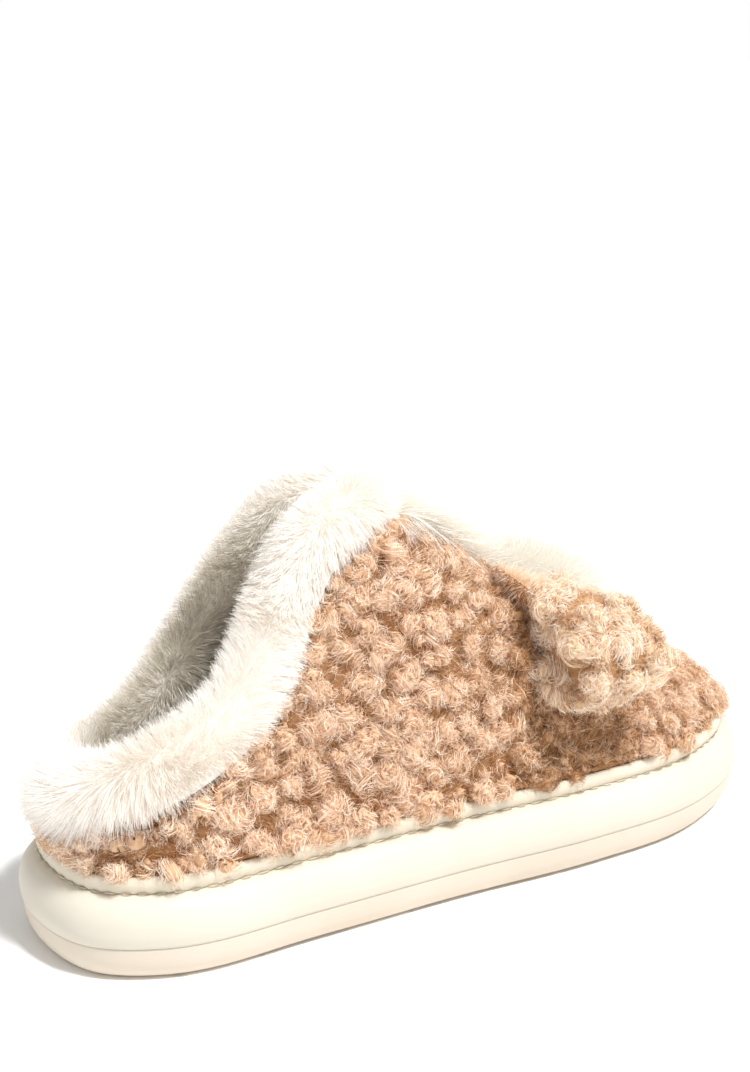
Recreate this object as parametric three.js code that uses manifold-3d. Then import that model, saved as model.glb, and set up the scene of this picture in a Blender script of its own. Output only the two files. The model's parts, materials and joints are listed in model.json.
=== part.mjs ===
// A fluffy house slipper (a backless mule) with a thick platform sole, a curly shearling
// upper, a long-pile plush collar and a soft bow on the vamp.
//
// Frame: millimetres, +Z up, the sole stands on Z = 0, the toe points along -Y and the
// heel along +Y. "Right" is the wearer's right, which is -X, and "left" is +X.

import * as THREE from 'three';
import { mergeVertices } from 'three/addons/utils/BufferGeometryUtils.js';
import Module from 'manifold-3d';

const wasm = await Module();
wasm.setup();

// ---------------------------------------------------------------- driving dimensions

const GAP = 0.3;                 // space left between touching pieces

// The sole's widest outline, half of it on each side, from the toe tip to the heel.
const TOE_TIP = [0, -133];
const HEEL_BACK = [0, 133];
const RIGHT_EDGE = [[-32, -117], [-49.3, -82], [-51, -40], [-46, 10], [-43, 60], [-39.5, 104],
  [-23.5, 127.5]];
const LEFT_EDGE = [[33, -116], [50, -80], [50.5, -38], [43, 12], [41, 60], [38.5, 104], [23, 127]];
const OUTLINE_STEPS = 56;

// Heights up the sole. A profile is a list of [inset, height].
const OUTSOLE_TOP = 11;
const OUTSOLE_PROFILE = [[7, 0], [4.6, 0.9], [2.6, 3.2], [1.4, 6.4], [0.8, OUTSOLE_TOP]];
const MIDSOLE_BASE = OUTSOLE_TOP + GAP;
const MIDSOLE_TOP = 25.3;
const MIDSOLE_PROFILE = [[0.6, MIDSOLE_BASE], [0, 14.8], [0.3, 18.8], [1.6, 22.1], [3.6, 24.3], [5.2, 25],
  [7, MIDSOLE_TOP]];
const WRAP_TOP = 30.4;
const BOARD_THICKNESS = 1.5;
const FOOTBED_FOAM = 3;
const FOOTBED_PILE = 4.5;
const FOOTBED_BEVEL = [2, 1];     // inset and height of the pile's sloping rim
const TREAD_GROOVES = 9;
const TREAD_PITCH = 26;
const TREAD_WIDTH = 3;
const TREAD_DEPTH = 1.2;

// Insets from the widest outline.
const WRAP_INSET = 6.5;
const WRAP_THICKNESS = 2;
const WRAP_BULGE = 0.5;
const UPPER_INSET = 5.5;
const THREAD_RADIUS = 0.45;
const THREAD_SIDES = 5;

// The upper's layers, as depths below the outer envelope of the curls.
const UPPER_BASE = WRAP_TOP + GAP;
const CURL_DEPTH = 5;
const STIFFENER = [CURL_DEPTH + GAP, CURL_DEPTH + GAP + 1];
const PUFF_TRIM = 0.15;           // the toe puff is this much thinner on each face
const LINING = [STIFFENER[1] + GAP, STIFFENER[1] + GAP + 4.5];

// The ridge line of the vamp, from above the toe to the front of the opening: [y, z].
const RIDGE = [[-87, 49.5], [-86, 50], [-83, 51.5], [-77, 55.5], [-66, 63.5], [-52, 74], [-35, 83],
  [-14, 104], [9, 121]];

// The upper's top edge on each side, from the ridge's end back to the heel.
const RIGHT_TOP = [[-21, 32, 120], [-29, 55, 99], [-36, 77, 74], [-36, 98, 59], [-31, 113, 53],
  [-22, 122, 46], [-11, 127, 40]];
const LEFT_TOP = [[21, 30, 114], [31, 50, 89], [37, 71, 60], [36, 93, 47], [31, 111, 43],
  [22, 121, 40], [11, 127, 38]];
const HEEL_TOP = [0, 129, 37];

// The upper is mapped by two numbers on each side: along, 0 at the toe and 1 at the heel,
// and up, 0 at the sole and 1 at the ridge or the top edge.
const INSTEP = 0.5;
const TOE_PUFF_END = 0.19;
const BAND_FRONT = 0.38;
const BAND_BACK = 0.53;
const SIDE_SEAM = 0.64;
const BAND_UP = 0.87;
const SEAM_ALONG = 0.002;
const SEAM_UP = 0.005;
const WALL_SWEEP = 40;           // degrees of the wall's arc beside the opening
const WALL_BLEND = 0.15;         // how far along the vamp's full arc takes to become the wall's

// The collar's centre line, once round the opening from the instep over the right side.
const COLLAR_LINE = [[0, 21, 121], [-10, 26, 121.5], [-16, 38, 120], [-18, 50, 114], [-20, 59, 102],
  [-25, 69, 87], [-28, 80, 74], [-28, 92, 66], [-26, 103, 60], [-19, 112, 54], [-6, 118, 48],
  [6, 118, 45.5], [16, 111, 44.5], [25, 101, 45], [28, 90, 49], [29, 78, 57], [28, 66, 72],
  [24, 56, 90], [20, 46, 105], [16, 35, 116], [9, 25, 120]];
const COLLAR_RADIUS = 11;
const COLLAR_CORE = 5.2;
const COLLAR_SLIT = 50;          // degrees left open under the collar's fold
const COLLAR_STEPS = 52;

// The bow: two stuffed loops hinged beside a plush knot.
const LOOP_ROOT = [18, 86.5];    // [distance from the middle, height] of the hinge line's middle
const LOOP_END = [46, 72];
const LOOP_ROOT_RADIUS = 4;
const LOOP_END_RADIUS = 15.5;
const LOOP_WALL = 4.5;
const LOOP_LINING = 1.2;
const LOOP_HOLLOW = 0.45;        // where the hollow starts, from the root (0) to the end (1)
const LINING_SETBACK = 1;        // how far the lining and the filling stop short of each edge
const FILLING_SETBACK = 3;
const LOOP_BACK = -19;           // the rear edge of a loop at its root
const LOOP_WIDTH = 27;
const LOOP_SLANT = 0.2;          // how far a loop leans to the toe for each mm outwards
const LOOP_TILT = 0.62;          // how far the hinge line rises for each mm towards the heel
const LIFT_STEPS = [0, 11, 22, 33, 44, 55];  // degrees of lift at which a loop clears the vamp
const KNOT_BACK = [-31, 89];     // [y, z] of the ends of the knot's centre line
const KNOT_FRONT = [-75, 72];
const KNOT_HALF_WIDTH = 12;
const KNOT_HALF_HEIGHT = 8;
const KNOT_WALL = 3.5;
const KNOT_PINCH = 0.6;          // fullness at the ends, as a part of the fullness in the middle
const KNOT_CORE_TRIM = 0.04;     // how much of the length the core stops short at each end
const KNOT_SIDES = 16;
const KNOT_STEPS = 8;
const PATCH_THICKNESS = 1.5;

// ---------------------------------------------------------------- materials

const finish = (color, roughness) => new THREE.MeshStandardMaterial({ color, roughness, metalness: 0 });
const cream = finish('#f1ecdc', 0.55);
const creamOutsole = finish('#f0e6d8', 0.6);
const creamWrap = finish('#f2eddf', 0.6);
const threadCream = finish('#d9d0ba', 0.8);
const tanCurl = finish('#c99f78', 0.95);
const tanShort = finish('#a87850', 0.95);
const whitePlush = finish('#f2efe6', 0.95);
const whiteFoam = finish('#f4f1e4', 0.9);
const board = finish('#b9a27e', 0.85);
const fibre = finish('#efefec', 0.95);

// ---------------------------------------------------------------- small tools

const lerp = THREE.MathUtils.lerp;
const radians = THREE.MathUtils.degToRad;
const vector = (p) => new THREE.Vector3(...p);
const flat = ([x, y]) => new THREE.Vector3(x, y, 0);

// A geometry from a list of points and a list of triangles that index it.
function geometryFrom(points, triangles) {
  const geometry = new THREE.BufferGeometry();
  const places = points.flatMap((p) => p.toArray());
  geometry.setAttribute('position', new THREE.Float32BufferAttribute(places, 3));
  geometry.setIndex(triangles.flat());
  return geometry;
}

// Joins rings of equally many points into one closed body. An open run of rings gets a
// fan of triangles at each end, and a run that closes on itself gets none.
function loft(rings, closed = false) {
  const count = rings[0].length;
  const points = rings.flat();
  const triangles = [];
  const last = closed ? rings.length : rings.length - 1;
  for (let r = 0; r < last; r++) {
    const a = r * count;
    const b = ((r + 1) % rings.length) * count;
    for (let i = 0; i < count; i++) {
      const j = (i + 1) % count;
      triangles.push([a + i, a + j, b + j], [a + i, b + j, b + i]);
    }
  }
  if (!closed) {
    for (const [start, flip] of [[0, true], [(rings.length - 1) * count, false]]) {
      const middle = points.length;
      const centre = new THREE.Vector3();
      for (let i = 0; i < count; i++) centre.addScaledVector(points[start + i], 1 / count);
      points.push(centre);
      for (let i = 0; i < count; i++) {
        const j = (i + 1) % count;
        triangles.push(flip ? [middle, start + j, start + i] : [middle, start + i, start + j]);
      }
    }
  }
  return geometryFrom(points, triangles);
}

// A closed mesh as a manifold solid, turned right side out.
function solid(geometry) {
  const bare = new THREE.BufferGeometry();
  bare.setAttribute('position', geometry.getAttribute('position').clone());
  if (geometry.index) bare.setIndex(geometry.index.clone());
  const merged = mergeVertices(bare, 1e-4);
  const build = (triVerts) => new wasm.Manifold(new wasm.Mesh({
    numProp: 3,
    vertProperties: new Float32Array(merged.getAttribute('position').array),
    triVerts: new Uint32Array(triVerts),
  }));
  const made = build(merged.index.array);
  if (made.volume() > 0) return made;
  return build(Array.from(merged.index.array).reverse());
}

// The largest single body of a manifold solid, as a geometry.
function geometryOf(manifold) {
  const bodies = manifold.decompose().sort((a, b) => b.volume() - a.volume());
  const mesh = bodies[0].getMesh();
  const geometry = new THREE.BufferGeometry();
  geometry.setAttribute('position', new THREE.Float32BufferAttribute(mesh.vertProperties, 3));
  geometry.setIndex(Array.from(mesh.triVerts));
  return geometry;
}

const slipper = new THREE.Group();

function add(name, made, material) {
  const mesh = new THREE.Mesh(geometryOf(made), material);
  mesh.name = name;
  slipper.add(mesh);
}

// ---------------------------------------------------------------- the sole

const outline = new THREE.CatmullRomCurve3(
  [TOE_TIP, ...RIGHT_EDGE, HEEL_BACK, ...LEFT_EDGE.toReversed()].map(flat), true);

// A point of the outline, moved inwards and lifted.
function outlinePoint(u, inset, z) {
  const at = ((u % 1) + 1) % 1;
  const point = outline.getPoint(at);
  const along = outline.getTangent(at);
  return new THREE.Vector3(point.x + along.y * inset, point.y - along.x * inset, z);
}

function outlineRing(inset, z) {
  return Array.from({ length: OUTLINE_STEPS }, (_, i) => outlinePoint(i / OUTLINE_STEPS, inset, z));
}

const slab = (levels) => solid(loft(levels.map(([inset, z]) => outlineRing(inset, z))));
const band = (levels) => solid(loft(levels.map(([inset, z]) => outlineRing(inset, z)), true));

function outsole() {
  let made = slab(OUTSOLE_PROFILE);
  for (let i = 0; i < TREAD_GROOVES; i++) {
    const groove = new THREE.BoxGeometry(140, TREAD_WIDTH, 2 * TREAD_DEPTH);
    groove.translate(0, (i - (TREAD_GROOVES - 1) / 2) * TREAD_PITCH, 0);
    made = made.subtract(solid(groove));
  }
  return made;
}

function platformWrap() {
  const low = MIDSOLE_TOP + GAP;
  const inner = WRAP_INSET + WRAP_THICKNESS;
  const bulge = [WRAP_INSET - WRAP_BULGE, (low + WRAP_TOP) / 2];
  return band([[WRAP_INSET, low], bulge, [WRAP_INSET, WRAP_TOP], [inner, WRAP_TOP], [inner, low]]);
}

function weltThread() {
  const inset = WRAP_INSET - THREAD_RADIUS - GAP;
  const height = MIDSOLE_TOP + THREAD_RADIUS + GAP;
  return band(Array.from({ length: THREAD_SIDES }, (_, i) => {
    const turn = (i / THREAD_SIDES) * 2 * Math.PI;
    return [inset + THREAD_RADIUS * Math.cos(turn), height + THREAD_RADIUS * Math.sin(turn)];
  }));
}

// ---------------------------------------------------------------- the upper's form

const ridge = new THREE.CatmullRomCurve3(RIDGE.map(([y, z]) => new THREE.Vector3(0, y, z)));
const ridgeEnd = [0, ...RIDGE.at(-1)];
const topEdge = {
  right: new THREE.CatmullRomCurve3([ridgeEnd, ...RIGHT_TOP, HEEL_TOP].map(vector)),
  left: new THREE.CatmullRomCurve3([ridgeEnd, ...LEFT_TOP, HEEL_TOP].map(vector)),
};

// One point of the outer envelope: an arc that rises from the sole's edge to the ridge or
// to the top edge. Over the vamp it is a quarter of an ellipse, beside the opening a part.
function upperPoint(side, along, up) {
  const foot = outlinePoint(side === 'right' ? along / 2 : 1 - along / 2, UPPER_INSET, UPPER_BASE);
  const head = along <= INSTEP
    ? ridge.getPoint(along / INSTEP)
    : topEdge[side].getPoint((along - INSTEP) / (1 - INSTEP));
  const opened = THREE.MathUtils.smoothstep(along, INSTEP, INSTEP + WALL_BLEND);
  const sweep = radians(lerp(90, WALL_SWEEP, opened));
  const inwards = (1 - Math.cos(up * sweep)) / (1 - Math.cos(sweep));
  const upwards = Math.sin(up * sweep) / Math.sin(sweep);
  return new THREE.Vector3(
    lerp(foot.x, head.x, inwards), lerp(foot.y, head.y, inwards), lerp(foot.z, head.z, upwards));
}

// Grid lines over runs of [from, to, steps], with a seam's gap between one run and the next.
function gridLines(stops, gap) {
  const lines = [];
  stops.forEach(([from, to, steps], i) => {
    const start = i === 0 ? from : from + gap;
    for (let s = 0; s <= steps; s++) lines.push(lerp(start, to, s / steps));
  });
  return lines;
}

const ALONG_STOPS = [[0, TOE_PUFF_END, 4], [TOE_PUFF_END, BAND_FRONT, 4], [BAND_FRONT, BAND_BACK, 4],
  [BAND_BACK, SIDE_SEAM, 3], [SIDE_SEAM, 1, 9]];
const UP_STOPS = [[0, BAND_UP, 4], [BAND_UP, 1, 1]];
const alongLines = gridLines(ALONG_STOPS, SEAM_ALONG);
const upLines = gridLines(UP_STOPS, SEAM_UP);

// The envelope's outward direction, square to the surface.
function upperNormal(side, along, up) {
  if (up === 1 && along <= INSTEP) {
    const uphill = ridge.getTangent(along / INSTEP);
    return new THREE.Vector3(0, -uphill.z, uphill.y);
  }
  const step = 1e-3;
  const { clamp } = THREE.MathUtils;
  const ahead = upperPoint(side, clamp(along + step, 0, 1), up);
  ahead.sub(upperPoint(side, clamp(along - step, 0, 1), up));
  const higher = upperPoint(side, along, clamp(up + step, 0, 1));
  higher.sub(upperPoint(side, along, clamp(up - step, 0, 1)));
  return ahead.cross(higher).multiplyScalar(side === 'right' ? -1 : 1).normalize();
}

// The whole envelope as one merged net of cells, with a normal at each knot. The two sides
// share their knots along the ridge, the toe and the heel.
const knots = [];
const cells = [];
const knotIndex = new Map();

function netOf(side) {
  const numbers = alongLines.map((along) => upLines.map((up) => {
    const point = upperPoint(side, along, up);
    const key = point.toArray().map((n) => Math.round(n * 100)).join();
    if (!knotIndex.has(key)) {
      knotIndex.set(key, knots.length);
      knots.push({ point, normal: new THREE.Vector3(), foot: up === 0 });
    }
    knots[knotIndex.get(key)].normal.add(upperNormal(side, along, up));
    return knotIndex.get(key);
  }));
  for (let i = 0; i + 1 < alongLines.length; i++) {
    for (let j = 0; j + 1 < upLines.length; j++) {
      const corners = [numbers[i][j], numbers[i][j + 1], numbers[i + 1][j + 1], numbers[i + 1][j]];
      if (side === 'left') corners.reverse();
      const along = (alongLines[i] + alongLines[i + 1]) / 2;
      const up = (upLines[j] + upLines[j + 1]) / 2;
      cells.push({ corners, along, up });
    }
  }
}

netOf('right');
netOf('left');
for (const knot of knots) {
  if (knot.foot) knot.normal.z = 0;
  knot.normal.normalize();
}

// A closed layer of the upper over the chosen cells, between two depths below the envelope.
function layer(chosen, outerDepth, innerDepth) {
  const picked = cells.filter(chosen);
  const local = new Map();
  const points = [];
  const pointAt = (k, depth) => {
    const key = `${k}/${depth}`;
    if (!local.has(key)) {
      local.set(key, points.length);
      points.push(knots[k].point.clone().addScaledVector(knots[k].normal, -depth));
    }
    return local.get(key);
  };
  const triangles = [];
  const quad = (a, b, c, d) => triangles.push([a, b, c], [a, c, d]);
  const edges = new Map();
  for (const { corners } of picked) {
    const [a, b, c, d] = corners.map((k) => pointAt(k, innerDepth));
    quad(...corners.map((k) => pointAt(k, outerDepth)));
    quad(a, d, c, b);
    corners.forEach((k, n) => edges.set(`${k}/${corners[(n + 1) % 4]}`, [k, corners[(n + 1) % 4]]));
  }
  for (const [k, m] of edges.values()) {
    if (edges.has(`${m}/${k}`)) continue;
    quad(pointAt(m, outerDepth), pointAt(k, outerDepth), pointAt(k, innerDepth), pointAt(m, innerDepth));
  }
  return solid(geometryFrom(points, triangles));
}

const between = (low, value, high) => value > low && value < high;
const isGap = (cell) => [TOE_PUFF_END, BAND_FRONT, BAND_BACK, SIDE_SEAM]
  .some((stop) => between(stop, cell.along, stop + SEAM_ALONG));
const inBandSpan = (cell) => between(BAND_FRONT, cell.along, BAND_BACK + SEAM_ALONG);
const inBand = (cell) => inBandSpan(cell) && cell.up > BAND_UP;

const isVampOuter = (cell) => cell.along < SIDE_SEAM && !inBand(cell);
const isCentreBand = (cell) => inBand(cell) && !isGap(cell) && cell.up > BAND_UP + SEAM_UP;
const isVamp = (cell) => cell.along < SIDE_SEAM;
const isHeel = (cell) => cell.along > SIDE_SEAM + SEAM_ALONG;
const isToePuff = (cell) => cell.along < TOE_PUFF_END;
const isVampFoam = (cell) => between(TOE_PUFF_END + SEAM_ALONG, cell.along, SIDE_SEAM);
const isUnderKnot = (cell) => cell.along < BAND_BACK && cell.up > BAND_UP / 2;
const isPatch = (cell) => between(TOE_PUFF_END + SEAM_ALONG, cell.along, BAND_FRONT) && cell.up > BAND_UP;

// ---------------------------------------------------------------- the collar

const collarLine = new THREE.CatmullRomCurve3(COLLAR_LINE.map(vector), true);

// A tube round the collar's line. Its section is a list of [radius, degrees], with 0
// degrees pointing down, square to the line.
function collarTube(section) {
  const rings = [];
  for (let i = 0; i < COLLAR_STEPS; i++) {
    const centre = collarLine.getPoint(i / COLLAR_STEPS);
    const forward = collarLine.getTangent(i / COLLAR_STEPS);
    const down = new THREE.Vector3(0, 0, -1).addScaledVector(forward, forward.z).normalize();
    const across = new THREE.Vector3().crossVectors(forward, down);
    rings.push(section.map(([radius, degrees]) => centre.clone()
      .addScaledVector(down, radius * Math.cos(radians(degrees)))
      .addScaledVector(across, radius * Math.sin(radians(degrees)))));
  }
  return solid(loft(rings, true));
}

const roundSection = (radius, sides) => Array.from({ length: sides }, (_, i) => [radius, (i * 360) / sides]);

// A fold of plush: a round section with a slit along its underside.
function foldSection(outer, inner, slit, steps) {
  const turn = (i) => slit / 2 + ((360 - slit) * i) / steps;
  const out = Array.from({ length: steps + 1 }, (_, i) => [outer, turn(i)]);
  const back = Array.from({ length: steps + 1 }, (_, i) => [inner, turn(steps - i)]);
  return [...out, ...back];
}

const collarRoom = collarTube(roundSection(COLLAR_RADIUS + GAP, 12));

// ---------------------------------------------------------------- the bow

// The outline of a loop seen from behind: a small circle and a large one joined by their
// common tangents, as points of [distance from the middle, height].
function teardrop(root, end, rootRadius, endRadius) {
  const heading = Math.atan2(end[1] - root[1], end[0] - root[0]);
  const reach = Math.hypot(end[0] - root[0], end[1] - root[1]);
  const lean = Math.acos((rootRadius - endRadius) / reach);
  const shape = new THREE.Shape();
  shape.absarc(end[0], end[1], endRadius, heading - lean, heading + lean, false);
  shape.absarc(root[0], root[1], rootRadius, heading + lean, heading - lean + 2 * Math.PI, false);
  shape.closePath();
  return shape;
}

// A loop piece is that outline, carried from the rear edge towards the toe and slanted.
function loopPiece(shape, width, side) {
  const geometry = new THREE.ExtrudeGeometry(shape, { depth: width, bevelEnabled: false, curveSegments: 10 });
  const places = geometry.getAttribute('position');
  for (let i = 0; i < places.count; i++) {
    const out = places.getX(i);
    const ahead = places.getZ(i) - width / 2;
    const reach = THREE.MathUtils.clamp((out - LOOP_ROOT[0]) / (LOOP_END[0] - LOOP_ROOT[0]), 0, 1);
    const y = LOOP_BACK - LOOP_WIDTH / 2 - ahead - LOOP_SLANT * (out - LOOP_ROOT[0]);
    places.setXYZ(i, side * out, y, places.getY(i) - LOOP_TILT * ahead * (1 - reach));
  }
  return solid(geometry);
}

function loopOutline(depth) {
  if (depth === 0) return teardrop(LOOP_ROOT, LOOP_END, LOOP_ROOT_RADIUS, LOOP_END_RADIUS);
  const root = LOOP_ROOT.map((n, i) => lerp(n, LOOP_END[i], LOOP_HOLLOW));
  const rootRadius = lerp(LOOP_ROOT_RADIUS, LOOP_END_RADIUS, LOOP_HOLLOW) - depth;
  return teardrop(root, LOOP_END, rootRadius, LOOP_END_RADIUS - depth);
}

function loopRing(outerDepth, innerDepth, width, side) {
  const outer = loopPiece(loopOutline(outerDepth), width, side);
  return outer.subtract(loopPiece(loopOutline(innerDepth), 2 * width, side));
}

// A solid turned about a loop's hinge line. A positive angle is the way the loop lifts.
function turned(made, side, degrees) {
  const axis = new THREE.Vector3(0, -side, -side * LOOP_TILT).normalize();
  const middle = new THREE.Vector3(side * LOOP_ROOT[0], LOOP_BACK - LOOP_WIDTH / 2, LOOP_ROOT[1]);
  const there = new THREE.Matrix4().makeTranslation(middle);
  const back = new THREE.Matrix4().makeTranslation(middle.negate());
  const turn = new THREE.Matrix4().makeRotationAxis(axis, radians(degrees));
  return made.transform(there.multiply(turn).multiply(back).elements);
}

// The knot: an oval sleeve round a pinched core, fuller in the middle than at its ends.
function knotRing(y, z, fullness, inset) {
  return Array.from({ length: KNOT_SIDES }, (_, i) => {
    const turn = (i / KNOT_SIDES) * 2 * Math.PI;
    return new THREE.Vector3(
      (KNOT_HALF_WIDTH * fullness - inset) * Math.cos(turn), y,
      z + (KNOT_HALF_HEIGHT * fullness - inset) * Math.sin(turn));
  });
}

function knotRings(inset, trim) {
  return Array.from({ length: KNOT_STEPS + 1 }, (_, i) => {
    const s = lerp(trim, 1 - trim, i / KNOT_STEPS);
    const fullness = lerp(KNOT_PINCH, 1, Math.sin(Math.PI * s));
    const [y, z] = KNOT_BACK.map((n, k) => lerp(n, KNOT_FRONT[k], s));
    return knotRing(y, z, fullness, inset);
  });
}

const knotSleeve = () => solid(loft([...knotRings(0, 0), ...knotRings(KNOT_WALL, 0).toReversed()], true));
const knotCore = () => solid(loft(knotRings(KNOT_WALL + GAP, KNOT_CORE_TRIM)));

// ---------------------------------------------------------------- assembly

// What the bow has to stay clear of: the envelope, and over it the backing patch.
const vampRoom = layer(isVamp, -2 * GAP, CURL_DEPTH);
const patchRoom = layer(isUnderKnot, -(PATCH_THICKNESS + 2 * GAP), CURL_DEPTH);
const stiffenerRoom = layer(isVamp, CURL_DEPTH, STIFFENER[1] + GAP);
// What the footbed has to stay clear of: the whole wall, and the collar.
const wallRoom = layer(() => true, 0, LINING[1] + GAP).add(collarRoom);
const boardTop = WRAP_TOP - GAP;
const boardInset = WRAP_INSET + WRAP_THICKNESS + GAP;
const fillerTop = boardTop - BOARD_THICKNESS - GAP;
const bedInset = UPPER_INSET + LINING[1] + GAP;
const foamTop = UPPER_BASE + FOOTBED_FOAM;
const pileBase = foamTop + GAP;
const pileTop = pileBase + FOOTBED_PILE;
const [bevelInset, bevelHeight] = FOOTBED_BEVEL;

const filler = slab([[boardInset, MIDSOLE_TOP + GAP], [boardInset, fillerTop]]);
const insoleBoard = slab([[boardInset, fillerTop + GAP], [boardInset, boardTop]]);
const footbedFoam = slab([[bedInset, UPPER_BASE], [bedInset, foamTop]]);
const footbedPlush = slab([[bedInset, pileBase], [bedInset, pileTop - bevelHeight],
  [bedInset + bevelInset, pileTop]]);

add('outsole', outsole(), creamOutsole);
add('midsole', slab(MIDSOLE_PROFILE), cream);
add('platform_filler', filler, whiteFoam);
add('insole_board', insoleBoard, board);
add('platform_wrap', platformWrap(), creamWrap);
add('welt_thread', weltThread(), threadCream);
add('footbed_foam', footbedFoam.subtract(wallRoom), whiteFoam);
add('footbed_plush', footbedPlush.subtract(wallRoom), whitePlush);

add('vamp_outer', layer(isVampOuter, 0, CURL_DEPTH).subtract(collarRoom), tanCurl);
add('heel_band_outer', layer(isHeel, 0, CURL_DEPTH).subtract(collarRoom), tanCurl);
add('centre_band', layer(isCentreBand, 0, CURL_DEPTH).subtract(collarRoom), whitePlush);
add('vamp_foam', layer(isVampFoam, ...STIFFENER).subtract(collarRoom), whiteFoam);
add('toe_puff', layer(isToePuff, STIFFENER[0] + PUFF_TRIM, STIFFENER[1] - PUFF_TRIM), board);
add('heel_counter', layer(isHeel, ...STIFFENER).subtract(collarRoom), board);
add('vamp_lining', layer(isVamp, ...LINING).subtract(collarRoom).subtract(stiffenerRoom), whitePlush);
add('heel_lining', layer(isHeel, ...LINING).subtract(collarRoom), whitePlush);

add('collar_plush', collarTube(foldSection(COLLAR_RADIUS, COLLAR_CORE + GAP, COLLAR_SLIT, 9)), whitePlush);
add('collar_core', collarTube(roundSection(COLLAR_CORE, 7)), whiteFoam);

add('bow_patch', layer(isPatch, -(PATCH_THICKNESS + GAP), -GAP), whiteFoam);
add('knot_plush', knotSleeve().subtract(patchRoom).subtract(vampRoom), whitePlush);
add('knot_core', knotCore().subtract(patchRoom), fibre);
for (const [name, side] of [['right_loop', -1], ['left_loop', 1]]) {
  const liningDepth = LOOP_WALL + GAP;
  const fillDepth = liningDepth + LOOP_LINING + GAP;
  const liftRoom = wasm.Manifold.union(LIFT_STEPS.map((angle) => turned(vampRoom, side, -angle)));
  add(`${name}_outer`, loopRing(0, LOOP_WALL, LOOP_WIDTH, side).subtract(liftRoom), tanCurl);
  const lining = loopRing(liningDepth, fillDepth - GAP, LOOP_WIDTH - 2 * LINING_SETBACK, side);
  add(`${name}_lining`, lining.subtract(liftRoom), tanShort);
  const filling = loopPiece(loopOutline(fillDepth), LOOP_WIDTH - 2 * FILLING_SETBACK, side);
  add(`${name}_filling`, filling.subtract(liftRoom), fibre);
}

export default slipper;
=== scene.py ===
"""The looks of the fluffy house slipper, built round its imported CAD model.

The pile is real geometry: curled fibres wound into small lumps on the tan shearling, and
straight combed fibres on the white plush. All lengths below are in metres.
"""

import json
import math

import bmesh
import bpy
import numpy as np
from mathutils import Matrix, Vector
from mathutils.bvhtree import BVHTree
from mathutils.kdtree import KDTree


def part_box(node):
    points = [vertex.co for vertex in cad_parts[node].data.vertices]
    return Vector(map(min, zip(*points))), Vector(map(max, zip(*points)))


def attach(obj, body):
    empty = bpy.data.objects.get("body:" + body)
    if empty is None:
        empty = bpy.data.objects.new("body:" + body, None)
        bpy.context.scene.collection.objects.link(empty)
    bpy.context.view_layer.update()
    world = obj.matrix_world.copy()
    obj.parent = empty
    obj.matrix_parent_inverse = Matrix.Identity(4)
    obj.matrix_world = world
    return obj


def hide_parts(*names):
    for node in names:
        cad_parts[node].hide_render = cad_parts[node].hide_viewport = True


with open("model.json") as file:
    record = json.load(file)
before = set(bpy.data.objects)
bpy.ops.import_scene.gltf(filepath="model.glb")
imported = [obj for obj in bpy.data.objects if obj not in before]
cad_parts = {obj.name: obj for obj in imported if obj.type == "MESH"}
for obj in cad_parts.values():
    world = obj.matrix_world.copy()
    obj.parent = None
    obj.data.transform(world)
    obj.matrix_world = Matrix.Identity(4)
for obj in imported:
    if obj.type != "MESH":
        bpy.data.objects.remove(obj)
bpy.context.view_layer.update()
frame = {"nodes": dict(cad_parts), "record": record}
random = np.random.default_rng(11)
MM = 0.001
DENSITY = 1.0
PIECE_FACES = 95_000  # quads in one piece of pile

# ------------------------------------------------------------------ colours


def linear(code):
    """An sRGB colour code as linear red, green, blue and alpha."""
    values = [int(code[i : i + 2], 16) / 255 for i in (1, 3, 5)]
    return (*[v / 12.92 if v <= 0.04045 else ((v + 0.055) / 1.055) ** 2.4 for v in values], 1)


def new_material(name, roughness=0.9):
    """A material with a Principled shader, and that shader."""
    material = bpy.data.materials.new(name)
    material.use_nodes = True
    shader = material.node_tree.nodes["Principled BSDF"]
    shader.inputs["Roughness"].default_value = roughness
    shader.inputs["Specular IOR Level"].default_value = 0.2
    return material, shader


def noise(material, scale, detail=4.0):
    """A noise texture in the object's own coordinates."""
    tree = material.node_tree
    place = tree.nodes.new("ShaderNodeTexCoord")
    texture = tree.nodes.new("ShaderNodeTexNoise")
    texture.inputs["Scale"].default_value = scale
    texture.inputs["Detail"].default_value = detail
    tree.links.new(place.outputs["Object"], texture.inputs["Vector"])
    return texture


def ramp(material, source, stops):
    """A colour ramp over source, through [position, colour code]."""
    node = material.node_tree.nodes.new("ShaderNodeValToRGB")
    while len(node.color_ramp.elements) < len(stops):
        node.color_ramp.elements.new(0.5)
    for element, (position, code) in zip(node.color_ramp.elements, stops):
        element.position = position
        element.color = linear(code)
    material.node_tree.links.new(source, node.inputs["Fac"])
    return node


def bump(material, shader, source, strength, distance):
    """Relief on a shader's surface, as high as source says."""
    node = material.node_tree.nodes.new("ShaderNodeBump")
    node.inputs["Strength"].default_value = strength
    node.inputs["Distance"].default_value = distance
    material.node_tree.links.new(source, node.inputs["Height"])
    material.node_tree.links.new(node.outputs["Normal"], shader.inputs["Normal"])


def surface(name, stops, scale, roughness=0.6, grain=0.3, grain_scale=900, depth=0.0001):
    """A mottled surface with a fine grain."""
    material, shader = new_material(name, roughness)
    mottle = noise(material, scale)
    colours = ramp(material, mottle.outputs["Fac"], stops)
    material.node_tree.links.new(colours.outputs["Color"], shader.inputs["Base Color"])
    if grain:
        bump(material, shader, noise(material, grain_scale, 6).outputs["Fac"], grain, depth)
    return material


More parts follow.
